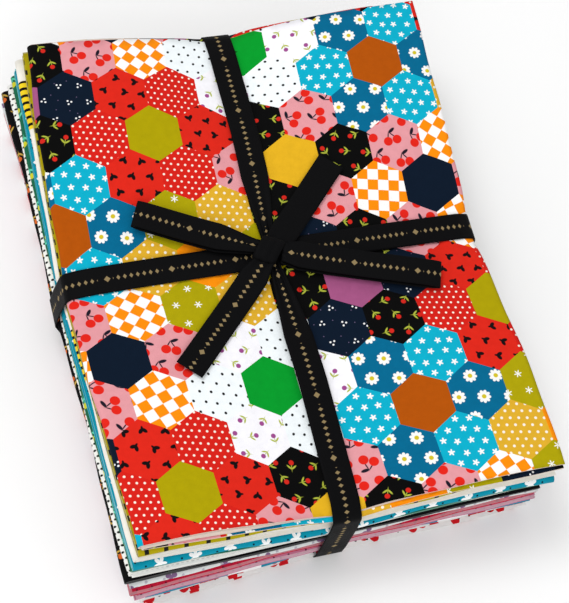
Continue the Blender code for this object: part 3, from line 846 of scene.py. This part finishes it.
def ribbon_finish(name, printed_side):
    """Black ribbon with fine cross ribs."""
    finish = bpy.data.materials.new(name)
    finish.use_nodes = True
    tree = finish.node_tree
    shader = tree.nodes["Principled BSDF"]
    place = new_node(tree, "UVMap", uv_map="ribbon").outputs[0]
    fibres = new_node(tree, "TexNoise", vector_of(tree, "MULTIPLY", place, (1.0, 0.12, 0.0)))
    fibres.inputs["Scale"].default_value = 2400
    shade = new_node(tree, "MapRange", fibres.outputs[0])
    shade.inputs["To Min"].default_value = 0.7
    shade.inputs["To Max"].default_value = 1.3
    tone = new_node(tree, "VectorMath", (0.0020, 0.0020, 0.0024), operation="SCALE")
    tree.links.new(shade.outputs[0], tone.inputs["Scale"])
    colour = tone.outputs[0]
    if printed_side:
        colour = printed(tree, colour, gold_lozenges(tree), (0.26, 0.19, 0.09))
    tree.links.new(colour, shader.inputs["Base Color"])
    ribs = new_node(tree, "SeparateXYZ", vector_of(tree, "MULTIPLY", place, (math.pi / (0.3 * MM), 0.0, 0.0)))
    bump = new_node(tree, "Bump")
    bump.inputs["Strength"].default_value = 0.3
    bump.inputs["Distance"].default_value = 0.00008
    tree.links.new(number_of(tree, "SINE", ribs.outputs[0]), bump.inputs["Height"])
    tree.links.new(bump.outputs[0], shader.inputs["Normal"])
    shader.inputs["Roughness"].default_value = 0.6
    shader.inputs["Specular IOR Level"].default_value = 0.05
    shader.inputs["Sheen Weight"].default_value = 0.01
    return finish


ribbon_right_side = ribbon_finish("black ribbon right side", True)
ribbon_wrong_side = ribbon_finish("black ribbon wrong side", False)


def ribbon_piece(name, strips, prints_face_side=True):
    """One ribbon piece. A strip is (rows, closed), a row of points across the ribbon at each step."""
    ribbon = bmesh.new()
    ribbon_map = ribbon.loops.layers.uv.new("ribbon")
    total = 0.0
    for rows, closed in strips:
        lines = [[ribbon.verts.new(point + stack_corner) for point in row] for row in rows]
        along = [0.0]
        for here, ahead in zip(rows, rows[1:] + rows[:1]):
            middle = len(here) // 2
            along.append(along[-1] + (ahead[middle] - here[middle]).length)
        steps = len(rows) if closed else len(rows) - 1
        total += along[steps]
        for step in range(steps):
            here, ahead = lines[step], lines[(step + 1) % len(lines)]
            for n in range(len(here) - 1):
                face = ribbon.faces.new((here[n], here[n + 1], ahead[n + 1], ahead[n]))
                corner_places = ((step, n), (step, n + 1), (step + 1, n + 1), (step + 1, n))
                for loop, (at, side) in zip(face.loops, corner_places):
                    share = side / (len(here) - 1) - 0.5
                    loop[ribbon_map].uv = (along[at], share * RIBBON_WIDE)
    mesh = bpy.data.meshes.new(name)
    ribbon.to_mesh(mesh)
    ribbon.free()
    mesh.shade_smooth()
    finishes = (ribbon_right_side, ribbon_wrong_side)
    for finish in finishes if prints_face_side else finishes[::-1]:
        mesh.materials.append(finish)
    piece = bpy.data.objects.new(name, mesh)
    bpy.context.collection.objects.link(piece)
    body = piece.modifiers.new("ribbon thickness", "SOLIDIFY")
    body.thickness = RIBBON_THICK
    body.offset = 0.0
    body.material_offset = 1
    body.material_offset_rim = 1
    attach(piece, "root")
    return piece, total


def outline_round(places):
    """The convex outline of points in a plane, anticlockwise."""
    ordered = sorted(set(places))
    whole = []
    for sequence in (ordered, ordered[::-1]):
        chain = []
        for point in sequence:
            while len(chain) > 1:
                first, second = chain[-2:]
                if ((second[0] - first[0]) * (point[1] - first[1])
                        - (second[1] - first[1]) * (point[0] - first[0])) > 1e-12:
                    break
                chain.pop()
            chain.append(point)
        whole += chain[:-1]
    return whole


def band_route(beside):
    """The taut middle line of a band round the pile, as even (along, height) steps."""
    outline = [Vector(place) for place in outline_round([(round(a, 6), round(b, 6)) for a, b in beside])]
    grown = []
    for index, here in enumerate(outline):
        before = (here - outline[index - 1]).normalized()
        after = (outline[(index + 1) % len(outline)] - here).normalized()
        outwards = Vector((before.y + after.y, -before.x - after.x)).normalized()
        grown.append(here + outwards * RIBBON_OUT / max(0.7, outwards.dot(Vector((after.y, -after.x)))))
    route = []
    for here, ahead in zip(grown, grown[1:] + grown[:1]):
        count = max(1, round((ahead - here).length / (2 * MM)))
        route += [here.lerp(ahead, n / count) for n in range(count)]
    return [(route[index - 1] + here * 2 + route[(index + 1) % len(route)]) / 4
            for index, here in enumerate(route)]


def pleated_row(middle, sideways, half, full_half, lift, phase=0.0):
    """A row across a ribbon that is drawn in to `half`: what it loses in width goes into soft pleats."""
    squeeze = 1 - half / full_half
    row = []
    for n in range(-6, 7):
        share = n / 6
        pleat = 1.5 * MM * squeeze * math.cos(share * 7.5 + phase)
        row.append(middle + sideways * half * share + lift * pleat)
    return row


BESIDE_KNOT = 7 * MM
GATHER_REACH = 40 * MM
GATHERED_SHARE = 0.36
BEND_REACH = 75 * MM
ON_TOP = STACK_TALL * 0.78


def drawn_in(distance):
    """Half width of the long band near the knot, and how much the bow's pull bends it there."""
    share = min(1.0, max(0.0, (abs(distance) - BESIDE_KNOT) / GATHER_REACH))
    half = RIBBON_WIDE / 2 * (GATHERED_SHARE + (1 - GATHERED_SHARE) * share ** 0.8)
    return half, max(0.0, 1 - abs(distance) / BEND_REACH) ** 1.3


band_strips = []
for axis in (0, 1):
    side = Vector((0, 1, 0)) if axis == 0 else Vector((-1, 0, 0))
    # The long band passes outside the cross band, on top and underneath
    if axis == 1:
        over = max(point.y for point in route) + RIBBON_THICK + SKIM - RIBBON_OUT
        under = min(point.y for point in route) - RIBBON_THICK - SKIM + RIBBON_OUT
        for edge in (-RIBBON_WIDE / 2, RIBBON_WIDE / 2):
            beside_bands[1].append((TIE_CROSSING.y + edge, over))
            beside_bands[1].append((TIE_CROSSING.y + edge, under))
    route = band_route(beside_bands[axis])
    rows = []
    for index, (along, height) in enumerate(route):
        ahead = route[(index + 1) % len(route)] - route[index - 1]
        outward = Vector((ahead.y, 0, -ahead.x)) if axis == 0 else Vector((0, ahead.y, -ahead.x))
        outward.normalize()
        middle = TIE_CROSSING.copy()
        middle[axis] = along
        middle.z = height
        half = RIBBON_WIDE / 2
        if height > ON_TOP:
            narrow, bend = drawn_in(along - BOW_MIDDLE[axis])
            middle[1 - axis] += (BOW_MIDDLE - TIE_CROSSING)[1 - axis] * bend
            half = narrow if axis == 1 else half
        rows.append(pleated_row(middle, side, half, RIBBON_WIDE / 2, outward, 0.6))
    band_strips.append((rows, True))
band, band_length = ribbon_piece("ribbon_band", band_strips)
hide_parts("tie_band")

# The bow. Loops and tails leave the knot gathered and spread to the ribbon's full width. The loops
# stand open on their edges' stiffness, and the tails lie along the cloth.
BOW_COLUMNS = "name node shape heading reach prints_down gathered from to"
BOW = [dict(zip(BOW_COLUMNS.split(), row)) for row in (
    ("ribbon_loop_left", "tie_loop_left", "loop", 154.4, 74, True, 8.0, 10, 28),
    ("ribbon_loop_right", "tie_loop_right", "loop", -18.9, 91, True, 11.0, 6, 15),
    ("ribbon_tail_upper", "tie_tail_upper", "tail", 45.8, 66, True, 12.5, 6, 13),
    ("ribbon_tail_lower", "tie_tail_lower", "tail", 225.2, 83, False, 10.0, 7, 17),
)]
# Side views. out: share of the reach from the knot. up: mm above what lies under the ribbon.
SIDE_VIEWS = {
    "loop": [(0.00, 2.4), (0.15, 1.8), (0.40, 1.4), (0.75, 1.4), (0.92, 1.6), (0.985, 2.4), (1.00, 3.3),
             (0.985, 4.2), (0.92, 4.8), (0.75, 4.9), (0.45, 4.9), (0.20, 5.3), (0.00, 6.0)],
    "tail": [(0.00, 4.4), (0.12, 3.4), (0.28, 1.9), (0.50, 1.3), (0.75, 1.3), (0.90, 1.5), (1.00, 2.1)],
}


def smooth_path(points, steps):
    """A smooth curve through the points."""
    padded = [points[0], *points, points[-1]]
    path = []
    for a, b, c, d in zip(padded, padded[1:], padded[2:], padded[3:]):
        for n in range(steps):
            t = n / steps
            path.append(0.5 * (2 * b + (c - a) * t + (2 * a - 5 * b + 4 * c - d) * t ** 2
                               + (3 * b - a - 3 * c + d) * t ** 3))
    return path + [points[-1]]


OVER_BANDS = 1.35 * MM
BOW_START = 5.5 * MM


def bow_ground(place, sideways):
    """The highest thing under the ribbon's width: the cloth or the crossing of the bands."""
    crossing = stack_height(TIE_CROSSING.x, TIE_CROSSING.y) + OVER_BANDS
    spots = [place + sideways * share for share in (-1, 0, 1)]
    return max([crossing] + [stack_height(spot.x, spot.y) + rolling(spot.x, spot.y) for spot in spots])


for piece in BOW:
    heading = math.radians(piece["heading"])
    outwards = Vector((math.cos(heading), math.sin(heading), 0))
    sideways = Vector((-outwards.y, outwards.x, 0))
    path = smooth_path([Vector(point) for point in SIDE_VIEWS[piece["shape"]]], 5)
    rows = []
    for index, (out, up) in enumerate(path):
        distance = BOW_START + (piece["reach"] * MM - BOW_START) * out
        share = min(1.0, max(0.0, (distance / MM - piece["from"]) / (piece["to"] - piece["from"])))
        half = (piece["gathered"] * MM * (1 - share) + RIBBON_WIDE * share) / 2
        place = BOW_MIDDLE + outwards * distance
        ground = bow_ground(place, sideways * half)
        place.z = ground + up * MM
        ahead = path[min(index + 1, len(path) - 1)] - path[max(index - 1, 0)]
        lift = (Vector((0, 0, 1)) * ahead.x * piece["reach"] - outwards * ahead.y).normalized()
        rows.append(pleated_row(place, sideways, half, RIBBON_WIDE / 2, lift))
    bow_part, length = ribbon_piece(piece["name"], [(rows, False)], piece["prints_down"])
    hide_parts(piece["node"])

# The knot. A last turn of the ribbon wrapped tight round the middle of the bow, pressed flat and
# drawn into a few pleats.
KNOT_LENGTH = 12.5 * MM
KNOT_ACROSS = 7.6 * MM
KNOT_TALL = 3.5 * MM
KNOT_HEADING = math.radians(-28)
KNOT_STEPS = 36
knot_axis = Vector((math.cos(KNOT_HEADING), math.sin(KNOT_HEADING), 0))
knot_side = Vector((-knot_axis.y, knot_axis.x, 0))
knot_middle = BOW_MIDDLE - knot_axis * 1.5 * MM + Vector((0, 0, (knot_low.z + knot_high.z) / 2))
knot_rows = []
for step in range(KNOT_STEPS):
    angle = 2 * math.pi * step / KNOT_STEPS
    across = math.copysign(abs(math.cos(angle)) ** 0.8, math.cos(angle))
    up = math.copysign(abs(math.sin(angle)) ** 0.8, math.sin(angle))
    row = []
    for n in range(-8, 9):
        share = n / 8
        swell = 1 - 0.16 * share ** 4 + 0.03 * math.cos(share * 8 + 0.7 * math.sin(angle))
        row.append(knot_middle + knot_axis * (share * KNOT_LENGTH / 2 + across * 1.2 * MM)
                   + knot_side * KNOT_ACROSS * swell * across
                   + Vector((0, 0, KNOT_TALL * swell * up)))
    knot_rows.append(row)
knot, knot_turn = ribbon_piece("ribbon_knot", [(knot_rows, True)])
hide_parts("tie_knot")
